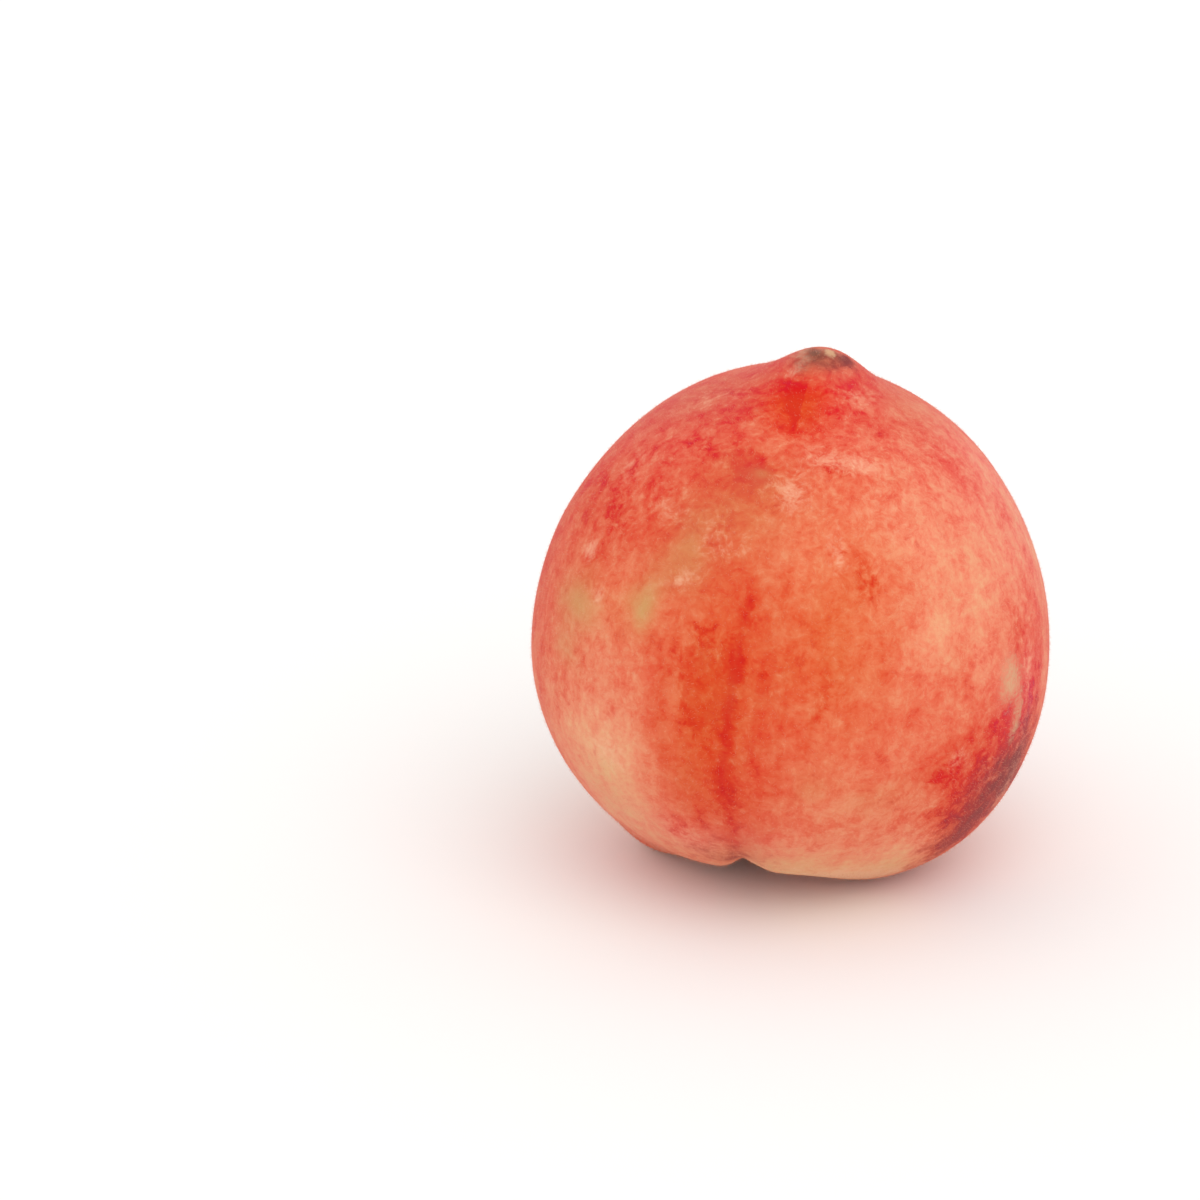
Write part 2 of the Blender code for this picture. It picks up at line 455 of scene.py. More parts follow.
class Graph:
    """A node tree that is being built. Each method adds a node and returns its output as a Field."""

    COLUMN, ROW, ROWS = 190, 170, 24

    def __init__(self, tree):
        self.tree = tree

    def node(self, kind, **settings):
        made = self.tree.nodes.new(kind)
        count = len(self.tree.nodes)
        made.location = (count // self.ROWS * self.COLUMN, -(count % self.ROWS) * self.ROW)
        for name, value in settings.items():
            setattr(made, name, value)
        return made

    def join(self, socket, value):
        if isinstance(value, Field):
            self.tree.links.new(value.socket, socket)
        elif value is not None:
            socket.default_value = value

    def made(self, kind, inputs, output=0, **settings):
        """Adds a node with these inputs, by name or place, and returns one of its outputs."""
        node = self.node(kind, **settings)
        for key, value in inputs.items():
            self.join(node.inputs[key], value)
        return Field(self, node.outputs[output])

    def given(self):
        """The tree's own inputs, by name."""
        start = self.node("NodeGroupInput")
        return {socket.name: Field(self, socket) for socket in start.outputs if socket.name}

    def give(self, name, value):
        """Makes the value the tree's own output."""
        self.join(self.node("NodeGroupOutput").inputs[name], value)

    def math(self, operation, *values):
        return self.made("ShaderNodeMath", dict(enumerate(values)), operation=operation)

    def vector(self, operation, *values):
        output = "Value" if operation in ("DOT_PRODUCT", "LENGTH") else "Vector"
        return self.made("ShaderNodeVectorMath", dict(enumerate(values)), output, operation=operation)

    def scaled(self, vector, factor):
        inputs = {"Vector": vector, "Scale": factor}
        return self.made("ShaderNodeVectorMath", inputs, "Vector", operation="SCALE")

    def combined(self, x, y, z):
        return self.made("ShaderNodeCombineXYZ", {"X": x, "Y": y, "Z": z})

    def part(self, vector, axis):
        return self.made("ShaderNodeSeparateXYZ", {"Vector": vector}, axis)

    def ramp(self, value, start, full, low=0.0, high=1.0):
        """low before start and high after full, with a smooth rise between."""
        inputs = {"Value": value, "From Min": start, "From Max": full, "To Min": low, "To Max": high}
        return self.made("ShaderNodeMapRange", inputs, interpolation_type="SMOOTHSTEP")

    def bell(self, distance, spread):
        """1 in the middle, falling smoothly to nothing a few spreads away."""
        part = distance / spread
        return self.math("EXPONENT", -(part * part))

    def noise(self, place, scale, detail=2.0, roughness=0.5):
        """Soft noise round 0, seldom beyond -0.5 and 0.5."""
        inputs = {"Vector": place, "Scale": scale, "Detail": detail, "Roughness": roughness}
        return self.made("ShaderNodeTexNoise", inputs) - 0.5

    def strayed(self, place, scale, reach):
        """A place that a soft noise has shifted by up to about half the reach."""
        inputs = {"Vector": place, "Scale": scale, "Detail": 2.0}
        drift = self.made("ShaderNodeTexNoise", inputs, "Color")
        drift = self.vector("SUBTRACT", drift, (0.5, 0.5, 0.5))
        return self.vector("ADD", place, self.scaled(drift, reach))

    def random(self, low, high, seed):
        """A random number for each point or instance."""
        node = self.node("FunctionNodeRandomValue", data_type="FLOAT")
        sockets = {socket.identifier: socket for socket in node.inputs}
        for key, value in (("Min_001", low), ("Max_001", high), ("Seed", seed)):
            self.join(sockets[key], value)
        return Field(self, next(out for out in node.outputs if out.identifier == "Value_001"))

    def blend(self, amount, first, second, mode="MIX"):
        """The first colour going over to the second."""
        node = self.node("ShaderNodeMix", data_type="RGBA", blend_type=mode)
        sockets = {socket.identifier: socket for socket in node.inputs}
        self.join(sockets["Factor_Float"], amount)
        self.join(sockets["A_Color"], first)
        self.join(sockets["B_Color"], second)
        return Field(self, next(out for out in node.outputs if out.identifier == "Result_Color"))

    def stops(self, amount, colours):
        """A colour from evenly spaced stops, by an amount from 0 to 1."""
        node = self.node("ShaderNodeValToRGB")
        last = len(colours) - 1
        for _ in range(last - 1):
            node.color_ramp.elements.new(0.5)
        for number, colour in enumerate(colours):
            node.color_ramp.elements[number].position = number / last
            node.color_ramp.elements[number].color = colour
        self.join(node.inputs["Fac"], amount)
        return Field(self, node.outputs["Color"])


def paint(code):
    """A colour as Blender mixes it, from the six hexadecimal digits that painters' charts give."""
    parts = [int(code[start : start + 2], 16) / 255 for start in (0, 2, 4)]
    mixed = [part / 12.92 if part <= 0.04045 else ((part + 0.055) / 1.055) ** 2.4 for part in parts]
    return (*mixed, 1.0)


def length(name, description, default):
    """A setting in metres."""
    return FloatProperty(name=name, description=description, default=default, min=0.0, unit="LENGTH")


def angle(name, description, degrees):
    """A setting in radians, shown in degrees."""
    return FloatProperty(name=name, description=description, default=radians(degrees), subtype="ANGLE")


def share(name, description, default):
    """A setting from nothing to all."""
    return FloatProperty(name=name, description=description, default=default, subtype="FACTOR")


def colour(name, description, code):
    """A setting for a colour, given as paint takes it."""
    return FloatVectorProperty(
        name=name, description=description, default=paint(code), size=4, min=0.0, max=1.0, subtype="COLOR"
    )


class PeachForm(bpy.types.PropertyGroup):
    """The fruit's body."""

    half_width: length("Half Width", "From the heart to the side", 0.0406)
    half_depth: length("Half Depth", "From the heart to the suture's side", 0.0395)
    heart_to_top: length("Heart to Top", "Height of the body above the heart, without the beak", 0.0452)
    heart_to_foot: length("Heart to Foot", "Height of the body below the heart", 0.0365)
    waist: share("Waist", "How far above and below the heart the top goes over to the foot", 0.4)
    beak_height: length("Beak Height", "How far the beak stands out of the crown", 0.0058)
    beak_spread: angle("Beak Spread", "How broad the beak is, seen from the heart", 10.8)
    beak_hollow: length("Beak Hollow", "Depth of the shallow hollow round the beak", 0.0030)
    beak_hollow_spread: angle("Beak Hollow Spread", "How broad that hollow is", 23.5)
    stem_hollow: length("Stem Hollow", "Depth of the hollow where the stem was", 0.0100)
    stem_hollow_spread: angle("Stem Hollow Spread", "How broad the stem hollow is", 13.0)
    lean: angle("Lean", "How far the fruit leans to the right as it stands", 7.0)
    ripple: length("Ripple", "Height of the skin's own slow unevenness", 0.00025)
    scar_height: length("Scar Height", "How far the scar on the beak stands up", 0.00025)
    stem_scar: length("Stem Scar", "Height of the woody ring where the stem was", 0.0004)
    folds: length("Stem Folds", "Depth of the folds that run into the stem hollow", 0.0005)
    columns: IntProperty(name="Columns", description="Faces round the fruit", default=380, min=12)
    rows: IntProperty(name="Rows", description="Faces from foot to beak", default=260, min=12)
    crowding: share("Crowding", "How much closer the rows lie near the beak and the stem", 0.5)


class PeachSuture(bpy.types.PropertyGroup):
    """The furrow from the beak to the stem hollow."""

    above: angle("Longitude Above", "Where the suture runs on the body", -13.0)
    at_foot: angle("Longitude at Foot", "Where it runs into the stem hollow", -8.0)
    valley: length("Valley Depth", "Depth of the faint valley all the way down", 0.0004)
    valley_spread: angle("Valley Spread", "How broad the valley is", 5.0)
    groove: length("Groove Depth", "Depth of the groove at the stem hollow", 0.0034)
    groove_left: angle("Groove Left", "How broad the groove is on its left", 3.0)
    groove_right: angle("Groove Right", "How broad the groove is on its right", 4.6)
    crease: length("Crease Depth", "Depth of the sharp fold at the bottom of the groove", 0.0005)
    crease_spread: angle("Crease Spread", "How broad that fold is", 1.1)


class PeachColours(bpy.types.PropertyGroup):
    """The skin's colours."""

    ground: colour("Ground", "Skin that has no blush", "e6b682")
    pale: colour("Pale Salmon", "The faintest blush", "e9a67a")
    salmon: colour("Salmon", "Light blush", "e78d66")
    coral: colour("Coral", "Middling blush", "e0704a")
    flame: colour("Flame", "Strong blush", "d8542c")
    scarlet: colour("Scarlet", "Full blush", "d2340e")
    crimson: colour("Crimson", "The darkest blush", "cc1c08")
    ochre: colour("Ochre", "Tan ground that shows through", "c49a5e")
    # The flecks' colour also paints the down's sheen at the dark flank's rim.
    fleck: colour("Flecks", "Pale flecks", "f0b898")
    # The wine also paints shade on the lower right flank and in the suture's groove near the foot.
    wine: colour("Wine", "Shade of the darkest flank", "863230")
    cork: colour("Cork", "Dry scars", "d2a680")
    bark: colour("Bark", "Brown round the scars", "6e4434")


class PeachDown(bpy.types.PropertyGroup):
    """The short hairs on the skin."""

    density: FloatProperty(
        name="Density", description="Hairs on a square metre of skin", default=2.1e6, min=0.0
    )
    shortest: length("Shortest", "How long the shortest hairs are", 0.00022)
    longest: length("Longest", "How long the longest hairs are", 0.00060)
    thickness: length("Thickness", "How thick a hair is where it leaves the skin", 0.000032)
    tilt: angle("Tilt", "How far the hairs lean over at most", 62.0)
    root: colour("Root", "Colour of the hairs at the skin", "dd8a6c")
    tip: colour("Tip", "Colour of the hairs' tips", "ecbfa8")


class PeachStage(bpy.types.PropertyGroup):
    """Floor, light and camera."""

    distance: length("Camera Distance", "From the middle of the fruit to the camera", 0.6977)
    elevation: angle("Camera Elevation", "How far the camera looks down", 21.53)
    aim_left: length("Aim Left", "How far left of the fruit's middle the camera aims", 0.0294)
    aim_up: length("Aim Up", "How far above the fruit's middle the camera aims", 0.0006)
    lens: FloatProperty(name="Lens", description="Focal length", default=135.0, unit="CAMERA")
    sky: FloatProperty(name="Sky", description="Brightness of the white surroundings", default=1.0)
    sun: FloatProperty(name="Lamp", description="Strength of the broad lamp", default=0.7)
    floor: colour("Floor", "Colour of the floor", "f4f3f1")


def unit_direction(longitude, latitude):
    """The unit vector from the heart towards a place on the skin, given in degrees."""
    east, up = radians(longitude), radians(latitude)
    return Vector((cos(up) * sin(east), -cos(up) * cos(east), sin(up)))


SOCKET_KINDS = {"FLOAT": "Float", "INT": "Int"}
PLACE_INPUTS = {"Box Low": "Vector", "Box High": "Vector", "Material": "Material"}


def numbers(settings):
    """The properties in a group that hold a number, so not its colours."""
    return [item for item in settings.bl_rna.properties if item.type in SOCKET_KINDS and not item.is_array]


def number_inputs(group):
    """The kind of socket that each of a group's numbers needs, by label."""
    return {item.name: SOCKET_KINDS[item.type] for item in numbers(group)}


def number_values(settings):
    """A group's numbers under the names that its tree's inputs have."""
    return {item.name: getattr(settings, item.identifier) for item in numbers(settings)}


def node_tree(name, inputs):
    """A geometry node tree that takes and gives a geometry, as a Graph, with its inputs by name."""
    tree = bpy.data.node_groups.new(name, "GeometryNodeTree")
    tree.is_modifier = True
    tree.interface.new_socket("Geometry", in_out="INPUT", socket_type="NodeSocketGeometry")
    for label, kind in inputs.items():
        tree.interface.new_socket(label, in_out="INPUT", socket_type="NodeSocket" + kind)
    tree.interface.new_socket("Geometry", in_out="OUTPUT", socket_type="NodeSocketGeometry")
    graph = Graph(tree)
    return graph, graph.given()


def finish_tree(graph, geometry, material):
    """Ends a tree with real geometry that wears the material."""
    real = graph.made("GeometryNodeRealizeInstances", {"Geometry": geometry})
    graph.give("Geometry", graph.made("GeometryNodeSetMaterial", {"Geometry": real, "Material": material}))


def grown(name, graph, values, mesh):
    """The plain mesh object that a tree makes of a mesh with these input values."""
    host = bpy.data.objects.new(name + "_seed", mesh)
    bpy.context.scene.collection.objects.link(host)
    modifier = host.modifiers.new(graph.tree.name, "NODES")
    modifier.node_group = graph.tree
    for item in graph.tree.interface.items_tree:
        if item.in_out == "INPUT" and item.name in values:
            modifier[item.identifier] = values[item.name]
    depsgraph = bpy.context.evaluated_depsgraph_get()
    evaluated = host.evaluated_get(depsgraph)
    result = bpy.data.meshes.new_from_object(evaluated, preserve_all_data_layers=True, depsgraph=depsgraph)
    result.name = name
    bpy.data.objects.remove(host)
    piece = bpy.data.objects.new(name, result)
    bpy.context.scene.collection.objects.link(piece)
    return piece


def marking_group():
    """A node group for one soft oval marking on the ball of directions from the heart."""
    tree = bpy.data.node_groups.new("Soft Marking", "GeometryNodeTree")
    for label in ("Direction", "Middle", "Across", "Along"):
        tree.interface.new_socket(label, in_out="INPUT", socket_type="NodeSocketVector")
    tree.interface.new_socket("Strength", in_out="INPUT", socket_type="NodeSocketFloat")
    tree.interface.new_socket("Amount", in_out="OUTPUT", socket_type="NodeSocketFloat")
    graph = Graph(tree)
    given = graph.given()
    across = graph.vector("DOT_PRODUCT", given["Direction"], given["Across"])
    along = graph.vector("DOT_PRODUCT", given["Direction"], given["Along"])
    # Behind the fruit, where across and along are small again, facing is negative and pushes away.
    facing = graph.vector("DOT_PRODUCT", given["Direction"], given["Middle"])
    behind = graph.math("MINIMUM", facing, 0.0) * 100.0
    distance = graph.vector("LENGTH", graph.combined(across, along, behind))
    graph.give("Amount", graph.bell(distance, 1.0) * given["Strength"])
    return tree


def marked(graph, direction, group, layer):
    """A layer's level plus its soft ovals, as a field."""
    total = LEVELS.get(layer, 0.0)
    for longitude, latitude, half_width, half_height, strength, *leaning in MARKINGS[layer]:
        lean = radians(sum(leaning))
        middle = unit_direction(longitude, latitude)
        east = unit_direction(longitude + 90, 0)
        north = middle.cross(east) * -1.0
        across = (east * cos(lean) - north * sin(lean)) / sin(radians(half_width))
        along = (east * sin(lean) + north * cos(lean)) / sin(radians(half_height))
        inputs = {"Direction": direction, "Middle": middle, "Across": across, "Along": along}
        inputs["Strength"] = strength
        total = graph.made("GeometryNodeGroup", inputs, "Amount", node_tree=group) + total
    return total


def suture_depth(graph, given, turn, latitude, aside):
    """How far the suture sinks the skin, at a turn round the fruit counted from the suture."""
    on_this_side = graph.ramp(graph.math("ABSOLUTE", turn), *SUTURE_SIDE_EDGES)
    on_this_side = on_this_side * graph.ramp(graph.math("ABSOLUTE", latitude), *SUTURE_RUNS_OUT)
    valley = given["Valley Depth"] * graph.bell(aside, given["Valley Spread"])
    is_left = graph.math("LESS_THAN", aside, 0.0)
    spread = given["Groove Right"] + is_left * (given["Groove Left"] - given["Groove Right"])
    groove = given["Groove Depth"] * graph.ramp(latitude, *GROOVE_DEEPENS) * graph.bell(aside, spread)
    crease = given["Crease Depth"] * graph.ramp(latitude, *CREASE_DEEPENS)
    crease = crease * graph.bell(aside, given["Crease Spread"])
    return on_this_side * (valley + groove + crease)


def apart(graph, direction, longitude, latitude):
    """The angle between a direction and a place on the skin, given in degrees."""
    facing = graph.vector("DOT_PRODUCT", direction, unit_direction(longitude, latitude))
    return graph.math("ARCCOSINE", graph.math("MINIMUM", graph.math("MAXIMUM", facing, -1.0), 1.0))


def heart_distance(graph, given, direction, latitude):
    """How far the skin is from the heart, before the suture is cut into it."""
    rise = graph.ramp(graph.part(direction, "Z"), -given["Waist"], given["Waist"])
    half_height = given["Heart to Foot"] + (given["Heart to Top"] - given["Heart to Foot"]) * rise
    halves = graph.combined(given["Half Width"], given["Half Depth"], half_height)
    distance = 1.0 / graph.vector("LENGTH", graph.vector("DIVIDE", direction, halves))
    from_beak = pi / 2 - latitude
    distance = distance + given["Beak Height"] * graph.bell(from_beak, given["Beak Spread"])
    distance = distance - given["Beak Hollow"] * graph.bell(from_beak, given["Beak Hollow Spread"])
    from_stem = latitude + pi / 2
    distance = distance - given["Stem Hollow"] * graph.bell(from_stem, given["Stem Hollow Spread"])
    for *middle, spread, height in SWELLINGS:
        distance = distance + height * graph.bell(apart(graph, direction, *middle), radians(spread))
    return distance


def around(graph, outwards, ring):
    """1 on a ring at its distance from the middle, falling to nothing inside it and outside."""
    distance, spread = ring
    return graph.bell(outwards - distance, spread)


def scar_height(graph, given, direction, longitude, latitude):
    """How far the dry scars stand out of the skin, and the folds round the stem sink into it."""
    rough = graph.noise(direction, 60.0, 3.0)
    from_scar = apart(graph, direction, *BEAK_SCAR)
    pad = graph.bell(from_scar, BEAK_PAD_SPREAD) * (1.0 + rough * 1.2)
    moat = around(graph, from_scar, BEAK_MOAT) * -0.9
    beak = given["Scar Height"] * (pad + moat)
    from_stem = latitude + pi / 2
    ring = around(graph, from_stem, STEM_RING) * (1.0 + rough)
    wood = graph.bell(from_stem, STEM_WOOD_SPREAD) * rough * 1.5
    waves = graph.math("SINE", longitude * STEM_FOLD_COUNT + graph.noise(direction, 4.0) * 6.0)
    folds = given["Stem Folds"] * waves * around(graph, from_stem, STEM_FOLDS)
    return beak + given["Stem Scar"] * (ring + wood) + folds


def stored(graph, geometry, name, value, kind="FLOAT", domain="POINT"):
    """The geometry with a field kept on it by name."""
    inputs = {"Geometry": geometry, "Name": name, "Value": value}
    return graph.made("GeometryNodeStoreNamedAttribute", inputs, data_type=kind, domain=domain)


def skin_tree():
    """The tree that turns a flat grid into the fruit's skin, from the same rule as its solid."""
    inputs = {**number_inputs(PeachForm), **number_inputs(PeachSuture), **PLACE_INPUTS}
    graph, given = node_tree("Peach Skin", inputs)
    grid_inputs = {"Size X": 1.0, "Size Y": 2.0}
    grid_inputs["Vertices X"] = given["Columns"] + 1.0
    grid_inputs["Vertices Y"] = given["Rows"] + 1.0
    geometry = graph.made("GeometryNodeMeshGrid", grid_inputs)

    place = graph.made("GeometryNodeInputPosition", {})
    turn = graph.part(place, "X") * (2 * pi)
    climb = graph.part(place, "Y")
    bunching = given["Crowding"] / pi * graph.math("SINE", climb * pi)
    latitude = (climb + bunching) * (pi / 2)
    drift = (given["Longitude at Foot"] - given["Longitude Above"]) * graph.ramp(latitude, *SUTURE_DRIFTS)
    longitude = turn + given["Longitude Above"] + drift
    level = graph.math("COSINE", latitude)
    direction = graph.combined(
        level * graph.math("SINE", longitude),
        -(level * graph.math("COSINE", longitude)),
        graph.math("SINE", latitude),
    )
    aside = graph.math("ARCSINE", level * graph.math("SINE", turn))

    # Markings stray from their round outlines, but not the scars, nor the wedge that the suture cuts off.
    group = marking_group()
    wandered = graph.vector("NORMALIZE", graph.strayed(direction, *WANDER))
    for layer in MARKINGS:
        where = direction if layer in ("wedge", "cork", "bark") else wandered
        strength = marked(graph, where, group, layer)
        if layer == "wedge":
            edge = turn + graph.ramp(latitude, *WEDGE_SLANTS, high=WEDGE_SLANT)
            strength = strength * graph.ramp(edge, *WEDGE_EDGE)
        geometry = stored(graph, geometry, layer, strength)
    seam = graph.bell(turn * level, SEAM_SPREAD) * graph.ramp(latitude, *SEAM_RUNS_OUT)
    geometry = stored(graph, geometry, "seam", seam)
    # Meridians that close up at beak and stem, as a peach's streaks do.
    grain = graph.combined(
        graph.math("COSINE", longitude) * GRAIN_RADIUS,
        graph.math("SINE", longitude) * GRAIN_RADIUS,
        latitude * GRAIN_RADIUS,
    )
    geometry = stored(graph, geometry, "grain", grain, "FLOAT_VECTOR")
    chart = graph.combined(graph.part(place, "X") + 0.5, climb * 0.5 + 0.5, 0.0)
    geometry = stored(graph, geometry, "OFBake", chart, "FLOAT2", "CORNER")

    distance = heart_distance(graph, given, direction, latitude)
    distance = distance - suture_depth(graph, given, turn, latitude, aside)
    distance = distance + given["Ripple"] * graph.noise(direction, 3.0, 3.0)
    distance = distance + scar_height(graph, given, direction, longitude, latitude)
    position = graph.scaled(direction, distance)
    geometry = graph.made("GeometryNodeSetPosition", {"Geometry": geometry, "Position": position})
    geometry = graph.made("GeometryNodeMergeByDistance", {"Geometry": geometry, "Distance": SKIN_MERGE})

    turned = {"Geometry": geometry, "Rotation": graph.combined(0.0, given["Lean"], 0.0)}
    geometry = graph.made("GeometryNodeTransform", turned)
    box = graph.node("GeometryNodeBoundBox")
    graph.join(box.inputs["Geometry"], geometry)
    low, high = Field(graph, box.outputs["Min"]), Field(graph, box.outputs["Max"])
    low_gap = graph.vector("SUBTRACT", given["Box Low"], low)
    high_gap = graph.vector("SUBTRACT", given["Box High"], high)
    centring = graph.scaled(graph.vector("ADD", low_gap, high_gap), 0.5)
    topping = graph.part(given["Box High"], "Z") - graph.part(high, "Z")
    move = graph.combined(graph.part(centring, "X"), graph.part(centring, "Y"), topping)
    standing = graph.vector("ADD", graph.made("GeometryNodeInputPosition", {}), move)
    floor = graph.part(given["Box Low"], "Z")
    standing = graph.combined(
        graph.part(standing, "X"),
        graph.part(standing, "Y"),
        graph.math("MAXIMUM", graph.part(standing, "Z"), floor),
    )
    geometry = graph.made("GeometryNodeSetPosition", {"Geometry": geometry, "Position": standing})
    geometry = graph.made("GeometryNodeSetShadeSmooth", {"Geometry": geometry})
    finish_tree(graph, geometry, given["Material"])
    return graph


def named(graph, name):
    """A number kept on the geometry by name, as a field of a geometry tree."""
    return graph.made("GeometryNodeInputNamedAttribute", {"Name": name}, "Attribute")


def attribute(graph, name, output="Fac"):
    """The same in a material's tree."""
    return graph.made("ShaderNodeAttribute", {}, output, attribute_name=name)


def skin_material(colours):
    """Matt skin: a blush of many reds over a pale ground, mottled, flecked and downy, with painted shade
    and painted sheen in places.
    """
    material = bpy.data.materials.new("peach_skin")
    material.use_nodes = True
    graph = Graph(material.node_tree)
    shader = material.node_tree.nodes["Principled BSDF"]
    place = graph.scaled(graph.made("ShaderNodeTexCoord", {}, "Object"), MILLIMETRES)
    place = graph.strayed(place, *DRIFT)
    grain = attribute(graph, "grain", "Vector")

    # Blotches of some 10, 4, 1.5 and 0.6 mm, and streaks that run from beak to stem.
    clouds = graph.noise(place, *CLOUDS)
    mottle = graph.noise(place, *MOTTLE)
    curly = graph.strayed(place, *CURL)
    spots = graph.noise(curly, *SPOTS)
    fibres = graph.noise(curly, *FIBRES)
    streaks = graph.noise(graph.vector("MULTIPLY", grain, STREAK_STRETCH), *STREAKS)
    waist = graph.ramp(graph.math("ABSOLUTE", graph.part(grain, "Z")), *WAIST_EDGES)

    stain = graph.ramp(attribute(graph, "stain") + mottle * 0.5 + spots * 0.5, 0.35, 0.70)
    wedge = graph.ramp(attribute(graph, "wedge") * (1.0 + mottle * 0.6 + spots * 0.6), 0.05, 1.15)
    unrest = attribute(graph, "unrest") * (mottle * 0.50 + spots * 0.48 + fibres * 0.32)
    seam = attribute(graph, "seam") * (0.17 + mottle * 0.4)
    blush = attribute(graph, "blush") + seam + stain * 0.20 + wedge * 0.40 + clouds * 0.35 + unrest
    blush = blush + streaks * (0.06 + waist * 0.20)
    shades = ("ground", "pale", "salmon", "coral", "flame", "scarlet", "crimson")
    skin = graph.stops(blush / FULL_BLUSH, [getattr(colours, shade) for shade in shades])

    ochre = attribute(graph, "ochre") - mottle * 0.3 - spots * 0.2
    skin = graph.blend(ochre, skin, tuple(colours.ochre))
    # Pinker at both rims is painted sheen of the down.
    pinker = {"Hue": 0.5 - attribute(graph, "rose") * PINK_TURN, "Color": skin}
    skin = graph.made("ShaderNodeHueSaturation", pinker)
    # Wine: the flank's own dark colour, with painted shade there and in the suture's groove near the foot.
    wine = graph.ramp(attribute(graph, "wine") + mottle * 0.9 + spots * 0.7, 0.10, 1.0)
    skin = graph.blend(wine, skin, tuple(colours.wine))
    # The flecks also paint the down's sheen at the rim of the dark flank.
    flecks = attribute(graph, "flecks") - spots * 1.1 + fibres * 0.9 - mottle * 0.4
    flecks = graph.ramp(flecks, 0.25, 1.15, high=0.65)
    skin = graph.blend(flecks, skin, tuple(colours.fleck))
    bark = graph.ramp(attribute(graph, "bark") + mottle * 0.6 + fibres * 0.3, 0.15, 0.95)
    skin = graph.blend(bark, skin, tuple(colours.bark))
    cork = graph.ramp(attribute(graph, "cork") + spots * 1.2 + fibres * 1.0, 0.28, 1.15, high=0.85)
    skin = graph.blend(cork, skin, tuple(colours.cork))

    graph.join(shader.inputs["Base Color"], skin)
    relief = spots * 0.5 + fibres * 0.5 + cork * fibres * 1.5
    inputs = {"Height": relief, "Strength": 0.35, "Distance": 0.0003}
    graph.join(shader.inputs["Normal"], graph.made("ShaderNodeBump", inputs))
    graph.join(shader.inputs["Roughness"], 0.62 + cork * 0.25 + flecks * 0.1)
    shader.inputs["Specular IOR Level"].default_value = 0.12
    shader.inputs["Sheen Weight"].default_value = 0.05
    shader.inputs["Sheen Roughness"].default_value = 0.45
    shader.inputs["Sheen Tint"].default_value = (1.0, 0.88, 0.84, 1.0)
    return material


def down_tree(seed):
    """The tree that plants short tapering hairs all over the skin."""
    inputs = {**number_inputs(PeachDown), "Floor": "Float", "Material": "Material"}
    graph, given = node_tree("Peach Down", inputs)
    height = graph.part(graph.made("GeometryNodeInputPosition", {}), "Z")
    scarred = named(graph, "cork")
    bare = graph.math("MAXIMUM", graph.math("LESS_THAN", height, given["Floor"]), scarred)
    sown = {"Mesh": given["Geometry"], "Selection": graph.math("LESS_THAN", bare, 0.5)}
    sown.update({"Density": given["Density"], "Seed": seed})
    points = graph.made("GeometryNodeDistributePointsOnFaces", sown, "Points")
    upright = Field(graph, points.socket.node.outputs["Rotation"])
    for name in (*MARKINGS, "seam", "grain", "OFBake"):
        points = graph.made("GeometryNodeRemoveAttribute", {"Geometry": points, "Name": name})

    # One hair: a three-sided spike, 1 long and 1 thick, that knows how far up it and round it a point is.
    cone = {"Vertices": 3, "Radius Top": 0.0, "Radius Bottom": 0.5, "Depth": 1.0}
    spike = graph.made("GeometryNodeMeshCone", cone, fill_type="NGON")
    within = graph.made("GeometryNodeInputPosition", {})
    spike = stored(graph, spike, "along", graph.part(within, "Z"))
    spike = stored(graph, spike, "round", graph.part(within, "X"))

    spin = graph.combined(0.0, 0.0, graph.random(0.0, 2 * pi, seed + 1))
    lean = graph.combined(graph.random(LEAST_TILT, given["Tilt"], seed + 2), 0.0, 0.0)
    for turn in (spin, lean):
        turned = {"Rotation": upright, "Rotate By": turn}
        upright = graph.made("FunctionNodeRotateRotation", turned, rotation_space="LOCAL")
    stout = given["Thickness"] * graph.random(*STOUTNESS, seed + 3)
    tall = graph.random(given["Shortest"], given["Longest"], seed + 4)
    inputs = {"Points": points, "Instance": spike, "Rotation": upright}
    inputs["Scale"] = graph.combined(stout, stout, tall)
    hairs = graph.made("GeometryNodeInstanceOnPoints", inputs)
    hairs = stored(graph, hairs, "shade", graph.random(0.0, 1.0, seed + 5), domain="INSTANCE")
    hairs = graph.made("GeometryNodeRealizeInstances", {"Geometry": hairs})
    sideways = named(graph, "shade") * 0.9 + named(graph, "round") * 0.04 + 0.05
    upwards = named(graph, "along") * 0.9 + 0.05
    chart = graph.combined(sideways, upwards, 0.0)
    hairs = stored(graph, hairs, "OFBake", chart, "FLOAT2", "CORNER")
    finish_tree(graph, hairs, given["Material"])
    return graph


def down_material(settings):
    """Pale hairs, pinker at the root and each a little lighter or darker than the next."""
    material = bpy.data.materials.new("peach_down")
    material.use_nodes = True
    graph = Graph(material.node_tree)
    shader = material.node_tree.nodes["Principled BSDF"]
    rise = graph.ramp(attribute(graph, "along"), 0.0, 0.8)
    hair = graph.blend(rise, tuple(settings.root), tuple(settings.tip))
    dull = attribute(graph, "shade") * 0.25
    hair = graph.blend(dull, hair, tuple(settings.root))
    graph.join(shader.inputs["Base Color"], hair)
    shader.inputs["Roughness"].default_value = 0.8
    shader.inputs["Specular IOR Level"].default_value = 0.2
    return material


class PEACH_OT_make_skin(bpy.types.Operator):
    """Make the fruit's skin, with the suture, the beak and the stem hollow"""

    bl_idname = "peach.make_skin"
    bl_label = "Make Skin"

    def execute(self, context):
        scene = context.scene
        values = {**number_values(scene.peach_form), **number_values(scene.peach_suture)}
        values.update({"Box Low": CAD_LOW, "Box High": CAD_HIGH})
        values["Material"] = skin_material(scene.peach_colours)
        skin = grown("peach_skin", skin_tree(), values, bpy.data.meshes.new("empty"))
        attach(skin, BODY)
        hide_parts("peach")
        return {"FINISHED"}


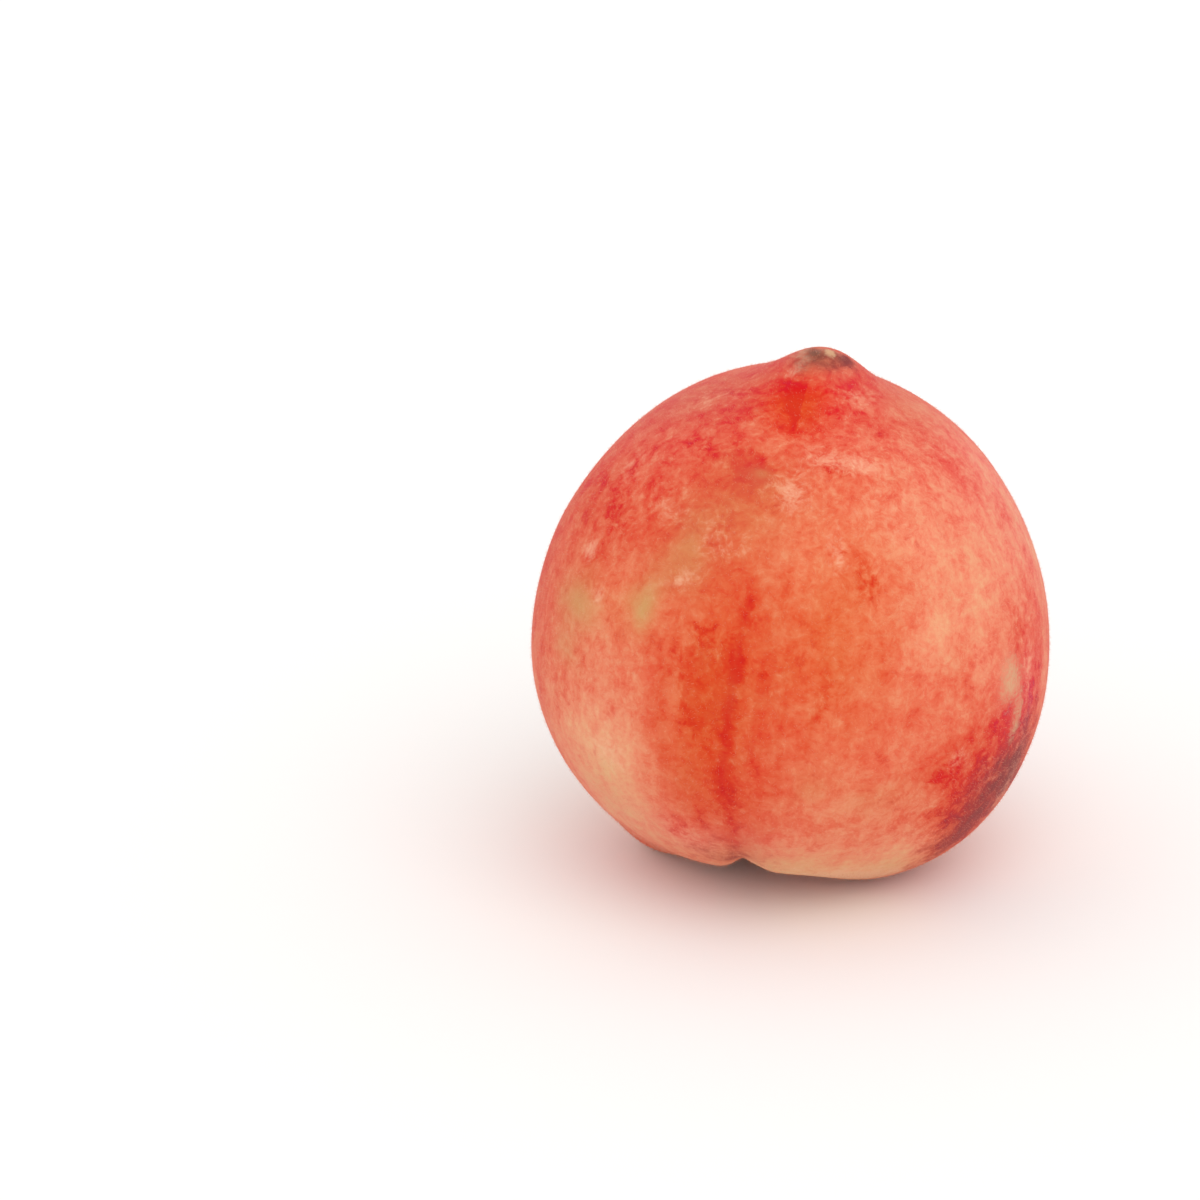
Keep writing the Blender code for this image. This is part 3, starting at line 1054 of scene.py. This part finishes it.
class PEACH_OT_make_down(bpy.types.Operator):
    """Plant the down on the skin that is there"""

    bl_idname = "peach.make_down"
    bl_label = "Make Down"

    def execute(self, context):
        scene = context.scene
        settings = scene.peach_down
        skin = scene.objects["peach_skin"]
        values = number_values(settings)
        values.update({"Floor": CAD_LOW.z + DOWN_CLEARANCE, "Material": down_material(settings)})
        down = grown("peach_down", down_tree(DOWN_SEED), values, skin.data)
        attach(down, BODY)
        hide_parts("peach")
        return {"FINISHED"}


class PEACH_OT_set_stage(bpy.types.Operator):
    """Lay the pale floor, light the fruit softly and set up the camera"""

    bl_idname = "peach.set_stage"
    bl_label = "Set Stage"

    def execute(self, context):
        scene = context.scene
        settings = scene.peach_stage
        lay_floor(settings)
        light_softly(settings)
        aim_camera(settings)
        scene.view_settings.view_transform = "Standard"
        return {"FINISHED"}


def lay_floor(settings):
    """Lays a floor that is too wide for its edges to show."""
    mesh = bmesh.new()
    bmesh.ops.create_grid(mesh, x_segments=4, y_segments=4, size=FLOOR_HALF)
    bmesh.ops.translate(mesh, verts=mesh.verts, vec=(0.0, 0.0, CAD_LOW.z))
    data = bpy.data.meshes.new("floor")
    mesh.to_mesh(data)
    mesh.free()
    material = bpy.data.materials.new("pale_floor")
    material.use_nodes = True
    shader = material.node_tree.nodes["Principled BSDF"]
    shader.inputs["Base Color"].default_value = settings.floor
    shader.inputs["Roughness"].default_value = 0.9
    shader.inputs["Specular IOR Level"].default_value = 0.1
    data.materials.append(material)
    floor = bpy.data.objects.new("floor", data)
    bpy.context.scene.collection.objects.link(floor)


def light_softly(settings):
    """Surrounds the fruit with white, and adds a broad lamp above it, in front and to the right."""
    scene = bpy.context.scene
    world = bpy.data.worlds.new("studio")
    world.use_nodes = True
    background = world.node_tree.nodes["Background"]
    background.inputs["Color"].default_value = (1.0, 1.0, 1.0, 1.0)
    background.inputs["Strength"].default_value = settings.sky
    scene.world = world
    lamp = bpy.data.lights.new("broad_lamp", "SUN")
    lamp.energy = settings.sun
    lamp.angle = LAMP_SPREAD
    lamp_object = bpy.data.objects.new("broad_lamp", lamp)
    lamp_object.rotation_euler = LAMP_TURN
    scene.collection.objects.link(lamp_object)


def aim_camera(settings):
    """Looks along +Y and down at the fruit, and pans left about the camera's own upright axis."""
    scene = bpy.context.scene
    ahead = Vector((0.0, cos(settings.elevation), -sin(settings.elevation)))
    upward = Vector((0.0, sin(settings.elevation), cos(settings.elevation)))
    middle = (CAD_LOW + CAD_HIGH) / 2
    data = bpy.data.cameras.new("camera")
    data.lens = settings.lens
    data.sensor_width = SENSOR_WIDTH
    data.clip_end = CAMERA_REACH
    camera = bpy.data.objects.new("camera", data)
    camera.location = middle - ahead * settings.distance
    target = middle + upward * settings.aim_up - Vector((settings.aim_left, 0.0, 0.0))
    view = (target - camera.location).normalized()
    across = view.cross(upward).normalized()
    camera.rotation_euler = Matrix((across, across.cross(view), -view)).transposed().to_euler()
    scene.collection.objects.link(camera)
    scene.camera = camera


class PEACH_PT_steps(bpy.types.Panel):
    """The peach's steps and settings"""

    bl_idname = "PEACH_PT_steps"
    bl_label = "Peach"
    bl_space_type = "VIEW_3D"
    bl_region_type = "UI"
    bl_category = "Peach"

    def draw(self, context):
        scene = context.scene
        for operator, groups in STEPS:
            box = self.layout.box()
            for group in groups:
                settings = getattr(scene, group)
                for item in settings.bl_rna.properties:
                    if item.identifier not in ("rna_type", "name"):
                        box.prop(settings, item.identifier)
            box.operator(operator)


STEPS = (
    ("peach.make_skin", ("peach_form", "peach_suture", "peach_colours")),
    ("peach.make_down", ("peach_down",)),
    ("peach.set_stage", ("peach_stage",)),
)
SETTINGS = {
    "peach_form": PeachForm,
    "peach_suture": PeachSuture,
    "peach_colours": PeachColours,
    "peach_down": PeachDown,
    "peach_stage": PeachStage,
}
CLASSES = (
    *SETTINGS.values(),
    PEACH_OT_make_skin,
    PEACH_OT_make_down,
    PEACH_OT_set_stage,
    PEACH_PT_steps,
)


def register():
    for kind in CLASSES:
        bpy.utils.register_class(kind)
    for name, kind in SETTINGS.items():
        setattr(bpy.types.Scene, name, PointerProperty(type=kind))


def unregister():
    for name in SETTINGS:
        delattr(bpy.types.Scene, name)
    for kind in reversed(CLASSES):
        bpy.utils.unregister_class(kind)


def main():
    register()
    bpy.ops.peach.make_skin()
    bpy.ops.peach.make_down()
    bpy.ops.peach.set_stage()


if __name__ == "__main__":
    main()
